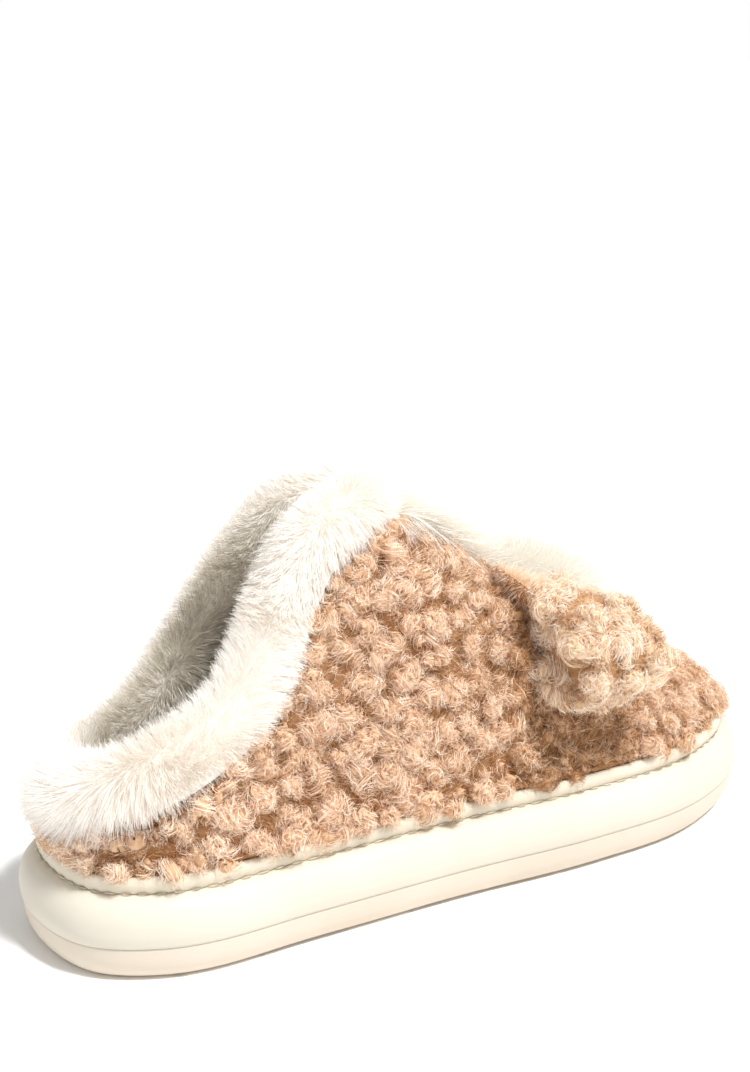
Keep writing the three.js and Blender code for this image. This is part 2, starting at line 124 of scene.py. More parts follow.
def fibre(name, code, sheen):
    """One tint of pile. The tints mix fibre by fibre, and the sheen varies over the piece."""
    material, shader = new_material(name, 0.85)
    shader.inputs["Base Color"].default_value = linear(code)
    shader.inputs["Sheen Tint"].default_value = linear(code)
    amount = material.node_tree.nodes.new("ShaderNodeMath")
    amount.operation = "MULTIPLY"
    amount.inputs[1].default_value = sheen
    material.node_tree.links.new(noise(material, 140).outputs["Fac"], amount.inputs[0])
    material.node_tree.links.new(amount.outputs["Value"], shader.inputs["Sheen Weight"])
    return material


CREAM = surface("cream_foam", [(0.35, "#d8d1c2"), (0.65, "#ddd7c9")], 30, 0.5, 0.12, 1500)
CREAM_LOW = surface("cream_foam_low", [(0.35, "#d9cdbd"), (0.65, "#ded3c4")], 30, 0.55, 0.15, 1400)
WRAP = surface("wrap_cloth", [(0.35, "#dad0bd"), (0.65, "#e0d8c7")], 60, 0.6, 0.25, 1800)
THREAD = surface("thread", [(0.35, "#93866a"), (0.65, "#d6ccb4")], 90, 0.8, 0.6, 2500)
FOAM = surface("open_foam", [(0.3, "#ded8c6"), (0.7, "#f1ecdd")], 200, 0.9, 0.8, 1200, 0.0003)
BOARD = surface("fibre_board", [(0.3, "#a98f67"), (0.7, "#c3aa82")], 150, 0.85, 0.6, 800)
# The tan backing's dark brown paints the shade deep in the crevices between the clumps.
TAN_SKIN = surface("tan_backing", [(0.3, "#8f6440"), (0.7, "#b58a62")], 220, 0.95, grain=0)
# The lining backing's grey paints the shade inside the slipper; the lining is white plush.
LINING_SKIN = surface("lining_backing", [(0.3, "#9c9280"), (0.7, "#b5ab9b")], 160, 0.95, grain=0)
NECK_SKIN = surface("neck_backing", [(0.3, "#b08559"), (0.7, "#caa27a")], 220, 0.95, grain=0)
WHITE_SKIN = surface("white_backing", [(0.3, "#f6f0e8"), (0.7, "#fdfaf5")], 160, 0.95, grain=0)

CORE_TINTS = {
    "shearling": fibre("tan_core", "#e0ba95", 0.4),
    "ball": fibre("ball_core", "#ebcda9", 0.4),
}
# The undercoat's darker browns paint the shade deep between the clumps.
UNDER_TINTS = [fibre("under_deep", "#b38352", 0.2), fibre("under_mid", "#cda276", 0.3)]
TAN_TINTS = [
    # the darkest tint is there for the painted shadow round the bow's loops
    fibre("tan_dark", "#a3744b", 0.2),
    fibre("tan_deep", "#c79a6e", 0.4),
    fibre("tan_mid", "#ebcbaa", 0.6),
    fibre("tan_light", "#f9e2c9", 0.7),
    fibre("tan_pale", "#fdedda", 0.7),
]
NECK_TINTS = [
    fibre("neck_deep", "#b98a60", 0.3),
    fibre("neck_mid", "#e9c8a4", 0.4),
    fibre("neck_light", "#fef1df", 0.6),
]
WHITE_TINTS = [
    fibre("white_shade", "#f7f0e8", 0.7),
    fibre("white_mid", "#fbf7f1", 0.8),
    fibre("white_light", "#fefbf7", 0.8),
]
BALL_TINTS = [
    fibre("ball_dark", "#b08358", 0.2),
    fibre("ball_deep", "#d8b38b", 0.4),
    fibre("ball_mid", "#f3dab9", 0.6),
    fibre("ball_light", "#fdedd6", 0.7),
    fibre("ball_pale", "#fff7ea", 0.8),
]
BRIGHT_TINTS = [
    fibre("bright_mid", "#fefaf4", 0.8),
    fibre("bright_light", "#fffdf8", 0.9),
]
# The collar's inner pile in greyer tints: painted shade inside the opening.
INNER_TINTS = [
    fibre("inner_shade", "#ccc4b4", 0.2),
    fibre("inner_mid", "#e2dcd0", 0.3),
    fibre("inner_light", "#f6f2eb", 0.5),
]
# The lining's pile in greys: painted shade inside the slipper, on a white plush lining.
LINING_TINTS = [
    fibre("lining_shade", "#8f8674", 0.2),
    fibre("lining_mid", "#a69d8c", 0.2),
    fibre("lining_light", "#bdb5a7", 0.3),
]

# ------------------------------------------------------------------ mesh tools


def mesh_object(name, points, faces, materials, slots=None):
    """A smooth shaded mesh object from an array of points and an array of faces."""
    faces = np.asarray(faces, np.int32)
    mesh = bpy.data.meshes.new(name)
    mesh.vertices.add(len(points))
    mesh.vertices.foreach_set("co", np.asarray(points, np.float32).ravel())
    mesh.loops.add(faces.size)
    mesh.loops.foreach_set("vertex_index", faces.ravel())
    mesh.polygons.add(len(faces))
    mesh.polygons.foreach_set("loop_start", np.arange(len(faces), dtype=np.int32) * faces.shape[1])
    if slots is not None:
        mesh.polygons.foreach_set("material_index", np.asarray(slots, np.int32))
    mesh.polygons.foreach_set("use_smooth", np.ones(len(faces), bool))
    mesh.update(calc_edges=True)
    for material in materials:
        mesh.materials.append(material)
    made = bpy.data.objects.new(name, mesh)
    bpy.context.scene.collection.objects.link(made)
    return made


def arrays_of(mesh):
    """The points, the triangles and the point normals of a mesh."""
    points = np.empty(len(mesh.vertices) * 3)
    mesh.vertices.foreach_get("co", points)
    normals = np.empty(len(mesh.vertices) * 3)
    mesh.vertices.foreach_get("normal", normals)
    mesh.calc_loop_triangles()
    triangles = np.empty(len(mesh.loop_triangles) * 3, np.int32)
    mesh.loop_triangles.foreach_get("vertices", triangles)
    return points.reshape(-1, 3), triangles.reshape(-1, 3), normals.reshape(-1, 3)


def unit(vectors):
    """The vectors at length 1."""
    return vectors / np.maximum(np.linalg.norm(vectors, axis=-1, keepdims=True), 1e-12)


def tree_of(names):
    """A ray casting tree over CAD nodes."""
    points, faces = [], []
    for name in names:
        p, t, _ = arrays_of(frame["nodes"][name].data)
        faces.extend((t + len(points)).tolist())
        points.extend(p.tolist())
    return BVHTree.FromPolygons(points, faces)


def body_nodes(body):
    """The names of the CAD nodes on a body."""
    return frame["record"]["behaviour"]["bodies"][body]


def remeshed(names, voxel, rounds):
    """One closed, evenly meshed, smoothed skin round some CAD nodes, as a new mesh."""
    points, faces = [], []
    for name in names:
        p, t, _ = arrays_of(frame["nodes"][name].data)
        faces.append(t + sum(len(q) for q in points))
        points.append(p)
    source = mesh_object("skin_source", np.concatenate(points), np.concatenate(faces), [])
    remesh = source.modifiers.new("remesh", "REMESH")
    remesh.mode = "VOXEL"
    remesh.voxel_size = voxel
    smooth = source.modifiers.new("smooth", "SMOOTH")
    smooth.iterations = rounds
    evaluated = source.evaluated_get(bpy.context.evaluated_depsgraph_get())
    mesh = bpy.data.meshes.new_from_object(evaluated)
    bpy.data.objects.remove(source)
    return mesh


def waves(points, length, count=9):
    """A smooth random field from -1 to 1 whose features are about length wide."""
    total = np.zeros(len(points))
    for _ in range(count):
        direction = unit(random.normal(size=3))
        pitch = 2 * math.pi / (length * random.uniform(1.2, 2.8))
        total += np.sin(points @ direction * pitch + random.uniform(0, 2 * math.pi))
    return total / math.sqrt(count)


def islands(count, triangles):
    """A label for each point that tells the separate pieces of a mesh apart."""
    labels = np.arange(count)
    while True:
        lowest = np.repeat(labels[triangles].min(axis=1), 3)
        updated = labels.copy()
        np.minimum.at(updated, triangles.ravel(), lowest)
        updated = updated[updated]
        if (updated == labels).all():
            return labels
        labels = updated


def outer_points(points, triangles):
    """True for the points of closed outer surfaces, and False for those of cavities inside."""
    labels = islands(len(points), triangles)
    a, b, c = (points[triangles[:, i]] for i in range(3))
    volume = np.bincount(labels[triangles[:, 0]], np.sum(a * np.cross(b, c), axis=1), len(points))
    return volume[labels] > 0


RAY_START = 0.4 * MM  # a ray that looks for a neighbour starts this far inside the skin
COVERED_DEPTH = 0.3 * MM  # how deep the closed skin lies where a neighbour covers it


class Skin:
    """The outside of one or more soft CAD nodes: where pile can grow, and which way.

    It is open where no other node of the body lies within room of it.
    """

    def __init__(self, names, body, voxel=1.0 * MM, rounds=6, room=2.5 * MM):
        mesh = remeshed(names, voxel, rounds)
        points, triangles, normals = arrays_of(mesh)
        polygons = np.array([tuple(p.vertices) for p in mesh.polygons], np.int32)
        bpy.data.meshes.remove(mesh)
        outer = outer_points(points, triangles)
        renumber = np.cumsum(outer) - 1
        self.points, self.normals = points[outer], normals[outer]
        self.triangles = renumber[triangles[outer[triangles[:, 0]]]]
        self.polygons = renumber[polygons[outer[polygons[:, 0]]]]
        others = [n for n in body_nodes(body) if n not in names]
        tree = tree_of(others) if others else None
        self.open = np.ones(len(self.points), bool)
        if tree:
            starts = self.points - self.normals * RAY_START
            self.open = np.array([
                tree.ray_cast(Vector(p), Vector(n), room)[0] is None
                for p, n in zip(starts, self.normals)
            ])
        self.body = body

    def base(self, name, depth, material, lumps=0.0, lump_size=5 * MM):
        """The closed skin under the pile, depth below the envelope where it is open."""
        inwards = np.where(self.open, depth, COVERED_DEPTH)
        if lumps:
            inwards = inwards - lumps * waves(self.points, lump_size) * self.open
        points = self.points - self.normals * inwards[:, None]
        made = mesh_object(name, points, self.polygons, [material])
        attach(made, self.body)
        return made

    def scatter(self, per_mm2, keep=None):
        """Random places on the open skin: points and normals."""
        a, b, c = (self.points[self.triangles[:, i]] for i in range(3))
        area = np.linalg.norm(np.cross(b - a, c - a), axis=1) / 2
        area *= self.open[self.triangles].all(axis=1)
        if keep is not None:
            area *= keep((a + b + c) / 3)
        count = int(area.sum() / MM**2 * per_mm2)
        chosen = random.choice(len(area), count, p=area / area.sum())
        u, v = random.random((2, count, 1))
        flip = u + v > 1
        u, v = np.where(flip, 1 - u, u), np.where(flip, 1 - v, v)
        corners = self.triangles[chosen]
        weights = [1 - u - v, u, v]
        points = sum(w * self.points[corners[:, i]] for i, w in enumerate(weights))
        normals = sum(w * self.normals[corners[:, i]] for i, w in enumerate(weights))
        return points, unit(normals)


def spaced(points, spacing):
    """Indices of a subset no two of which are closer than spacing."""
    taken, cells = [], {}
    for index, point in enumerate(points):
        cell = tuple((point // spacing).astype(int))
        near = [
            k
            for dx in (-1, 0, 1)
            for dy in (-1, 0, 1)
            for dz in (-1, 0, 1)
            for k in cells.get((cell[0] + dx, cell[1] + dy, cell[2] + dz), ())
        ]
        if all(np.linalg.norm(points[k] - point) >= spacing for k in near):
            cells.setdefault(cell, []).append(index)
            taken.append(index)
    return np.array(taken)


# ------------------------------------------------------------------ fibres

COMB_SIZE = 25 * MM  # how far the combing of the plush keeps its direction
SHADE_SIZE = 18 * MM  # how wide its paler and darker patches are
TUFT_TRIES = 20_000  # fibres that may be the middle of a tuft
TAPER = np.array([1.0, 0.95, 0.7, 0.25])  # a plush fibre's width from root to tip
PLUSH_STEPS = [-0.8, 0.2]  # the shades where one tint of plush gives way to the next
CURL_STEPS = [-1.4, -0.2, 0.5, 1.3]  # the same for the curls
CURL_WIDTH = 0.15 * MM
CURL_TAPER = np.array([0.7, 1, 0.9, 0.3])
HIDDEN_RISE = -0.5  # fibres further than this round the back of their lock are left out
FUZZ_WIDTH = 0.11 * MM
RIDGE, DIMPLE = 0.13, 0.08  # the relief on a lock, as a share of its girth
CORE_LIFT = (-0.5, -0.26)  # how far the rough core lies inside its lock, as a share of its girth


def facing(paths, outward, jitter):
    """The direction across each fibre that turns its flat side outwards."""
    onward = unit(np.gradient(paths, axis=1))
    loose = random.normal(size=(len(paths), 1, 3)) * jitter
    return unit(np.cross(onward, outward + loose))


def copies(name, body, points, faces, materials, tints):
    """Many shapes that share one set of faces, in pieces of a limited size.

    points is (shapes, corners, 3), faces is (faces, 4), and tints has one number for each shape.
    """
    each = PIECE_FACES // len(faces)
    for part, start in enumerate(range(0, len(points), each)):
        some = points[start : start + each]
        first = np.arange(len(some))[:, None, None] * some.shape[1]
        slots = np.repeat(tints[start : start + each], len(faces))
        made = mesh_object(f"{name}_{part + 1}", some.reshape(-1, 3),
                           (first + faces).reshape(-1, 4), materials, slots)
        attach(made, body)


def strips(name, body, paths, widths, across, materials, tints):
    """Fibres as thin tapered strips.

    paths is (fibres, steps, 3), widths is (fibres, steps), and across is (fibres, steps, 3).
    """
    count, steps = paths.shape[:2]
    half = across * widths[..., None] / 2
    points = np.stack([paths - half, paths + half], axis=2).reshape(count, -1, 3)
    first = np.arange(steps - 1) * 2
    faces = np.stack([first, first + 1, first + 3, first + 2], axis=-1)
    copies(name, body, points, faces, materials, tints)


def plush(name, body, points, normals, length, width, materials, lean, sweep=None,
          tuft=3 * MM, tone=0, unruly=0.7):
    """Straight pile combed in slowly changing directions and gathered in soft tufts.

    lean is how far it lies over and sweep adds a direction to lie in. tuft is the spacing of the
    tufts, tone is above 0 for paler pile, and unruly is how much the combing wanders.
    """
    count = len(points)
    comb = np.stack([waves(points, COMB_SIZE) for _ in range(3)], axis=1) * unruly
    if sweep is not None:
        comb += sweep
    comb -= normals * np.sum(comb * normals, axis=1, keepdims=True)
    centres = points[spaced(points[:TUFT_TRIES], tuft)]
    tree = KDTree(len(centres))
    for index, centre in enumerate(centres):
        tree.insert(centre, index)
    tree.balance()
    nearest = np.array([tree.find(p)[1] for p in points])
    gather = centres[nearest] - points
    gather -= normals * np.sum(gather * normals, axis=1, keepdims=True)
    lengths = (length * random.uniform(0.75, 1.1, count))[:, None]
    ahead = unit(normals + comb * lean + random.normal(size=(count, 3)) * 0.10)
    droop = comb * lean + random.normal(size=(count, 3)) * 0.22
    paths = np.stack([
        points + ahead * lengths * t + droop * lengths * 0.5 * t * t + gather * 0.35 * t * t
        for t in np.linspace(0, 1, len(TAPER))
    ], axis=1)
    widths = width * random.uniform(0.8, 1.2, count)[:, None] * TAPER
    across = facing(paths, normals[:, None], 0.3)
    shade = waves(points, SHADE_SIZE) * 0.5 + random.normal(size=count) * 0.8 + tone
    tints = np.digitize(shade, PLUSH_STEPS[: len(materials) - 1])
    strips(name, body, paths, widths, across, materials, tints)


def one_of(mask, limits, other_limits):
    """Random numbers between limits where mask is true, and between other_limits elsewhere."""
    count = len(mask)
    return np.where(mask, random.uniform(*limits, count), random.uniform(*other_limits, count))


class Locks:
    """Curly locks: rounded lumps, each with a few ridges that wind round its own axis."""

    def __init__(self, centres, outward, radius):
        count = len(centres)
        self.centres, self.outward, self.radius = centres, outward, radius
        lying = random.random(count) < 0.4
        tilt = random.normal(size=(count, 3)) * 0.45
        along = unit(np.cross(outward, random.normal(size=(count, 3))))
        self.axis = unit(np.where(lying[:, None], along + tilt * 0.5, outward + tilt))
        self.first = unit(np.cross(self.axis, random.normal(size=(count, 3))))
        self.second = np.cross(self.axis, self.first)
        self.half = radius * one_of(lying, (1.0, 1.5), (0.75, 1.0))
        self.girth = radius * one_of(lying, (0.7, 0.9), (0.9, 1.15))
        self.arms = random.integers(1, 4, count)
        self.twist = random.uniform(1.5, 4.0, count) * random.choice([-1, 1], count)
        self.phase = random.uniform(0, 2 * math.pi, count)

    def at(self, pick, level, angle, lift):
        """Points on locks, at a level from -1 to 1 along the axis and an angle about it.

        pick says which lock each point is on, and lift how far it stands off the lock.
        """
        wave = self.arms[pick] * (angle + self.twist[pick] * level) + self.phase[pick]
        dents = np.cos(2 * angle + 4 * level + 3 * self.phase[pick])
        bulge = 1 + RIDGE * np.cos(wave) + DIMPLE * dents + lift
        ring = np.sqrt(np.clip(1 - level**2, 0, 1)) * self.girth[pick] * bulge
        return (
            self.centres[pick]
            + self.axis[pick] * (level * self.half[pick] * bulge)[..., None]
            + self.first[pick] * (ring * np.cos(angle))[..., None]
            + self.second[pick] * (ring * np.sin(angle))[..., None]
        )


def lock_cores(name, body, locks, materials):
    """The solid inside of the locks, each lock in one tint."""
    levels, turns = 7, 11
    level = -np.cos(np.linspace(0.2, math.pi - 0.05, levels))
    angle = np.arange(turns) * 2 * math.pi / turns
    count = len(locks.radius)
    shape = (count, levels, turns)
    pick = np.broadcast_to(np.arange(count)[:, None, None], shape)
    rough = random.uniform(*CORE_LIFT, shape)
    points = locks.at(pick, np.broadcast_to(level[:, None], shape),
                      np.broadcast_to(angle, shape), rough)
    start = np.arange(levels - 1)[:, None] * turns
    low, low_next = start + np.arange(turns), start + np.roll(np.arange(turns), -1)
    faces = np.stack([low, low_next, low_next + turns, low + turns], axis=-1).reshape(-1, 4)
    tints = random.integers(0, len(materials), count)
    copies(name, body, points.reshape(count, -1, 3), faces, materials, tints)


def curls(name, body, locks, number, materials, tone):
    """Fibres that wind round the locks, wander off the ridges and stand off at their ends.

    number is how many fibres each lock has, and tone is above 0 for a paler lock.
    """
    pick = np.repeat(np.arange(len(number)), number)
    count = len(pick)
    steps = len(CURL_TAPER)
    t = np.linspace(0, 1, steps)
    run = random.uniform(0.15, 0.5, count) * random.choice([-1, 1], count)
    level = random.uniform(-0.9, 0.98, count)[:, None] + run[:, None] * t * 0.7
    level = np.clip(level, -0.98, 0.98)
    wander = random.normal(size=(count, 1)) * 0.9
    angle = random.uniform(0, 2 * math.pi, count)[:, None]
    angle = angle - (locks.twist[pick] * run)[:, None] * t + wander * t
    lift = random.uniform(-0.12, 0.05, count)[:, None]
    lift = lift + np.abs(random.normal(size=(count, 1))) * 0.16 * t**2
    picks = np.broadcast_to(pick[:, None], level.shape)
    paths = locks.at(picks, level, angle, lift)
    paths += np.cumsum(random.normal(size=(count, steps, 3)) * 0.14 * MM, axis=1)
    away = paths - locks.centres[pick][:, None]
    rise = np.sum(away[:, 2] * locks.outward[pick], axis=1) / locks.radius[pick]
    keep = rise > HIDDEN_RISE
    paths, away, rise, pick = paths[keep], away[keep], rise[keep], pick[keep]
    across = facing(paths, unit(away), 0.4)
    widths = CURL_WIDTH * random.uniform(0.6, 1.3, len(paths))[:, None] * CURL_TAPER
    tone = tone + random.normal(size=len(number)) * 0.35
    # painted shade: fibres further round the back of their lock, down towards the crevices, take
    # darker tints
    shade = rise * 1.2 + random.normal(size=len(paths)) * 0.7 + tone[pick]
    tints = np.digitize(shade, CURL_STEPS)
    strips(name, body, paths, widths, across, materials, tints)


def fuzz(name, body, points, normals, length, materials):
    """Stray fine hairs that stand off the curls."""
    count = len(points)
    ahead = unit(normals + random.normal(size=(count, 3)) * 0.7)
    curve = random.normal(size=(count, 3)) * 0.8
    lengths = length * random.uniform(0.4, 1.3, count)[:, None]
    paths = [points + (ahead * t + curve * t * t) * lengths for t in (0, 0.5, 1)]
    widths = FUZZ_WIDTH * np.array([1, 0.8, 0.3]) * np.ones((count, 1))
    side = unit(np.cross(ahead, random.normal(size=(count, 3))))
    across = np.repeat(side[:, None], len(paths), axis=1)
    tints = random.integers(2, len(materials), count)
    strips(name, body, np.stack(paths, axis=1), widths, across, materials, tints)


# ------------------------------------------------------------------ the sole


LEVEL = 1e-5  # two points of a ring differ by less than this in height
RIM_REACH = 10 * MM  # rings further in than this are not part of the rounded side


def ring_heights(name):
    """A sole node's points, and the heights of its rings from low to high."""
    points, _, _ = arrays_of(frame["nodes"][name].data)
    return points, sorted(set(np.round(points[:, 2], 5)))


def widest_outline():
    """The midsole's widest ring as a smooth closed line of points in the plane."""
    points, heights = ring_heights("midsole")
    rings = [points[np.abs(points[:, 2] - z) < LEVEL][:, :2] for z in heights]
    ring = max(rings, key=lambda r: np.ptp(r[:, 1]))
    ring = np.unique(np.round(ring, 6), axis=0)
    ring = ring[np.argsort(np.arctan2(ring[:, 1], ring[:, 0]))]
    return spline(ring, 8, closed=True)


def spline(points, steps, closed=False):
    """A Catmull-Rom curve through points."""
    points = np.asarray(points, float)
    if closed:
        p0, p1, p2, p3 = (np.roll(points, s, axis=0) for s in (1, 0, -1, -2))
    else:
        before, after = 2 * points[0] - points[1], 2 * points[-1] - points[-2]
        longer = np.concatenate([[before], points, [after]])
        p0, p1, p2, p3 = longer[:-3], longer[1:-2], longer[2:-1], longer[3:]
    t = (np.arange(steps) / steps)[None, :, None]
    p0, p1, p2, p3 = (p[:, None] for p in (p0, p1, p2, p3))
    curve = 0.5 * (2 * p1 + (p2 - p0) * t + (2 * p0 - 5 * p1 + 4 * p2 - p3) * t**2
                   + (3 * p1 - p0 - 3 * p2 + p3) * t**3)
    curve = curve.reshape(-1, points.shape[1])
    return curve if closed else np.concatenate([curve, points[-1:]])


OUTLINE = widest_outline()
AHEAD = unit(np.roll(OUTLINE, -1, axis=0) - np.roll(OUTLINE, 1, axis=0))
INWARD = np.stack([-AHEAD[:, 1], AHEAD[:, 0]], axis=1)


def profile_of(name):
    """[inset, height] of each of a sole node's rings, measured at the heel."""
    points, heights = ring_heights(name)
    reach = OUTLINE[:, 1].max()
    rings = [(reach - points[np.abs(points[:, 2] - z) < LEVEL][:, 1].max(), z) for z in heights]
    return [ring for ring in rings if ring[0] < RIM_REACH]


def swept(name, profile, materials, body="slipper", closed=False, ripple=None):
    """A profile of [inset, height] carried round the sole's outline.

    A profile that isn't closed gets a flat face at its bottom and top.
    """
    profile = np.asarray(profile)
    rings = []
    for inset, height in profile:
        ring = OUTLINE + INWARD * inset
        rings.append(np.column_stack([ring, np.full(len(ring), height)]))
    points = np.stack(rings)
    if ripple is not None:
        points[..., :2] += INWARD * ripple(points)[..., None]
    levels, count = len(profile), len(OUTLINE)
    last = levels if closed else levels - 1
    low = np.arange(last)[:, None] * count + np.arange(count)
    low_next = np.arange(last)[:, None] * count + np.roll(np.arange(count), -1)
    up = (low + count) % (levels * count)
    up_next = (low_next + count) % (levels * count)
    faces = np.stack([low, low_next, up_next, up], axis=-1).reshape(-1, 4)
    made = mesh_object(name, points.reshape(-1, 3), faces, materials)
    if not closed:
        shape = bmesh.new()
        shape.from_mesh(made.data)
        shape.verts.ensure_lookup_table()
        bottom = shape.faces.new([shape.verts[i] for i in range(count)][::-1])
        top = shape.faces.new([shape.verts[(levels - 1) * count + i] for i in range(count)])
        bottom.smooth = top.smooth = False
        shape.to_mesh(made.data)
        shape.free()
    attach(made, body)
    return made


PROFILE_STEPS = 5  # points on the smooth profile for each ring of the CAD node

midsole = swept("midsole_foam", spline(profile_of("midsole"), PROFILE_STEPS), [CREAM])
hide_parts("midsole")


GROOVE_ROOFS = (1.1 * MM, 2 * MM)  # the CAD grooves' roofs are between these heights
CUTTER_WIDTH = 140 * MM


def tread(outsole_object):
    """Cuts grooves across the outsole, between pairs of the CAD grooves' edges.

    Not every point at the roofs' height is on an edge, so the pairs fall out of step after the
    first groove, and some cuts lie where the CAD model has lands.
    """
    points, _ = ring_heights("outsole")
    roofs = points[(points[:, 2] < GROOVE_ROOFS[1]) & (points[:, 2] > GROOVE_ROOFS[0])]
    depth = np.round(roofs[:, 2], 5).min()
    edges = sorted(set(np.round(roofs[np.abs(roofs[:, 2] - depth) < LEVEL][:, 1], 4)))
    cutter = bmesh.new()
    for low, high in zip(edges[::2], edges[1::2]):
        size = Matrix.Diagonal((CUTTER_WIDTH, high - low, 2 * depth, 1))
        place = Matrix.Translation((0, (low + high) / 2, 0))
        bmesh.ops.create_cube(cutter, size=1, matrix=place @ size)
    mesh = bpy.data.meshes.new("tread_cutter")
    cutter.to_mesh(mesh)
    cutter.free()
    knife = bpy.data.objects.new("tread_cutter", mesh)
    bpy.context.scene.collection.objects.link(knife)
    cut = outsole_object.modifiers.new("tread", "BOOLEAN")
    cut.object = knife
    cut.solver = "EXACT"
    evaluated = outsole_object.evaluated_get(bpy.context.evaluated_depsgraph_get())
    outsole_object.data = bpy.data.meshes.new_from_object(evaluated)
    outsole_object.modifiers.clear()
    bpy.data.objects.remove(knife)


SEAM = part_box("midsole")[0].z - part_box("outsole")[1].z
SEAM_FILL = 0.9  # the outsole rises through this share of the seam, which leaves a fine dark line

outsole_profile = profile_of("outsole")
outsole_profile[-1] = (outsole_profile[-1][0], outsole_profile[-1][1] + SEAM_FILL * SEAM)
outsole = swept("outsole_foam", spline(outsole_profile, PROFILE_STEPS), [CREAM_LOW])
tread(outsole)
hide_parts("outsole")

# The wrap: a cloth strip that bulges a little between its stitches.
STITCH = 5.6 * MM  # from one stitch to the next
PUCKER_RISE = 2.2 * MM  # the puckers fade out this high above the wrap's foot
sides_of_outline = np.linalg.norm(np.diff(OUTLINE, axis=0, append=OUTLINE[:1]), axis=1)
perimeter = np.concatenate([[0], np.cumsum(sides_of_outline)])
wrap_low, wrap_high = (v.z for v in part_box("platform_wrap"))
wrap_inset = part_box("midsole")[1].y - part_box("platform_wrap")[1].y


def pucker(points):
    """How far the strip is pulled in beside each stitch."""
    phase = perimeter[:-1][None] / STITCH * 2 * math.pi
    low = np.clip(1 - (points[..., 2] - wrap_low) / PUCKER_RISE, 0, 1)
    wave = 0.5 + 0.5 * np.cos(phase)
    slow = waves(points.reshape(-1, 3), 22 * MM).reshape(points.shape[:2])
    return low * wave * 0.35 * MM + slow * 0.12 * MM


strip = [
    (wrap_inset + 1.2 * MM, wrap_low - 0.2 * MM),
    (wrap_inset + 0.45 * MM, wrap_low),
    (wrap_inset + 0.1 * MM, wrap_low + 0.6 * MM),
    (wrap_inset - 0.3 * MM, (wrap_low + wrap_high) / 2),
    (wrap_inset, wrap_high - 0.5 * MM),
    (wrap_inset + 0.8 * MM, wrap_high),
    (wrap_inset + 2 * MM, wrap_high),
    (wrap_inset + 2 * MM, wrap_low - 0.2 * MM),
]
wrap = swept("platform_strip", strip, [WRAP], closed=True, ripple=pucker)
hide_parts("platform_wrap")


def stitches():
    """Separate thread stitches that lie along the foot of the wrap."""
    thick = 0.2 * MM
    inset = wrap_inset - 0.15 * MM
    total = perimeter[-1]
    count = int(total / STITCH)
    ring = np.concatenate([OUTLINE, OUTLINE[:1]])
    inward = np.concatenate([INWARD, INWARD[:1]])
    points, faces = [], []
    sides, steps = 6, 7
    for index in range(count):
        middle = (index + 0.5) * total / count
        length = STITCH * random.uniform(0.5, 0.8)
        lean = random.normal() * 0.12 * MM
        rings = []
        for k in range(steps):
            t = k / (steps - 1)
            s = (middle + (t - 0.5) * length) % total
            at = np.array([np.interp(s, perimeter, ring[:, i]) for i in (0, 1)])
            to = np.array([np.interp(s, perimeter, inward[:, i]) for i in (0, 1)])
            dip = (2 * t - 1) ** 4
            place = at + to * (inset + dip * 0.5 * MM)
            height = wrap_low + 0.25 * MM + (t - 0.5) * lean - dip * 0.15 * MM
            size = thick * (1 - 0.45 * dip)
            turn = np.arange(sides) * 2 * math.pi / sides
            rings.append([
                (*(place - to * size * math.cos(a)), height + size * math.sin(a))
                for a in turn
            ])
        start = len(points)
        points.extend(p for r in rings for p in r)
        for k in range(steps - 1):
            for a in range(sides):
                b = (a + 1) % sides
                low, high = start + k * sides, start + (k + 1) * sides
                faces.append((low + a, low + b, high + b, high + a))
    return mesh_object("welt_stitches", np.array(points), np.array(faces), [THREAD])


seam = stitches()
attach(seam, "slipper")
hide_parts("welt_thread")

# The hidden foams and boards keep their CAD shapes.
for node, material in [
    ("platform_filler", FOAM),
    ("insole_board", BOARD),
    ("footbed_foam", FOAM),
    ("vamp_foam", FOAM),
    ("toe_puff", BOARD),
    ("heel_counter", BOARD),
]:
    frame["nodes"][node].data.materials.clear()
    frame["nodes"][node].data.materials.append(material)

# ------------------------------------------------------------------ the tan shearling

DOWN = np.array([0, 0, -1.0])
shearling = Skin(["vamp_outer", "heel_band_outer"], "slipper", room=0.8 * MM)
tan_base = shearling.base("tan_shearling_backing", 2.6 * MM, TAN_SKIN, lumps=0.5 * MM)
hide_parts("vamp_outer", "heel_band_outer")

CLUMP = 6.0 * MM  # a clump's radius on the upper
BALL_CLUMP = 6.8 * MM  # and on the bow's loops
CLUMP_SPACING = 1.45  # from one clump to the next, in clump radii
LOBES = 7  # locks in one clump
PROUD = 1.6 * MM  # how far a clump stands out of the CAD envelope
FOOT_TOP, FOOT_FADE = 38 * MM, 6 * MM  # below this height the clumps hang over the wrap
OVERHANG = 1.6 * MM
REAR, REAR_FADE = 92 * MM, 25 * MM  # behind this the clumps are smaller and lie flatter
REAR_SINK = 1.6 * MM
GAP_LOCK = 2.9 * MM  # the radius of the sunk locks between the clumps
GAP_SPACING = 0.85  # from one of them to the next, in clump radii
ROOTS = 1.2  # places for clumps to choose from, and undercoat fibres, for each square mm
UNDERCOAT, UNDERCOAT_WIDTH, UNDERCOAT_SINK = 3.6 * MM, 0.22 * MM, 3.2 * MM
FIBRES, BALL_FIBRES = 114, 118  # on a lock of the usual radius
USUAL_LOCK = 2.5 * MM
HAIRS, HAIR = 25, 1.5 * MM  # stray hairs for each lock, and their length


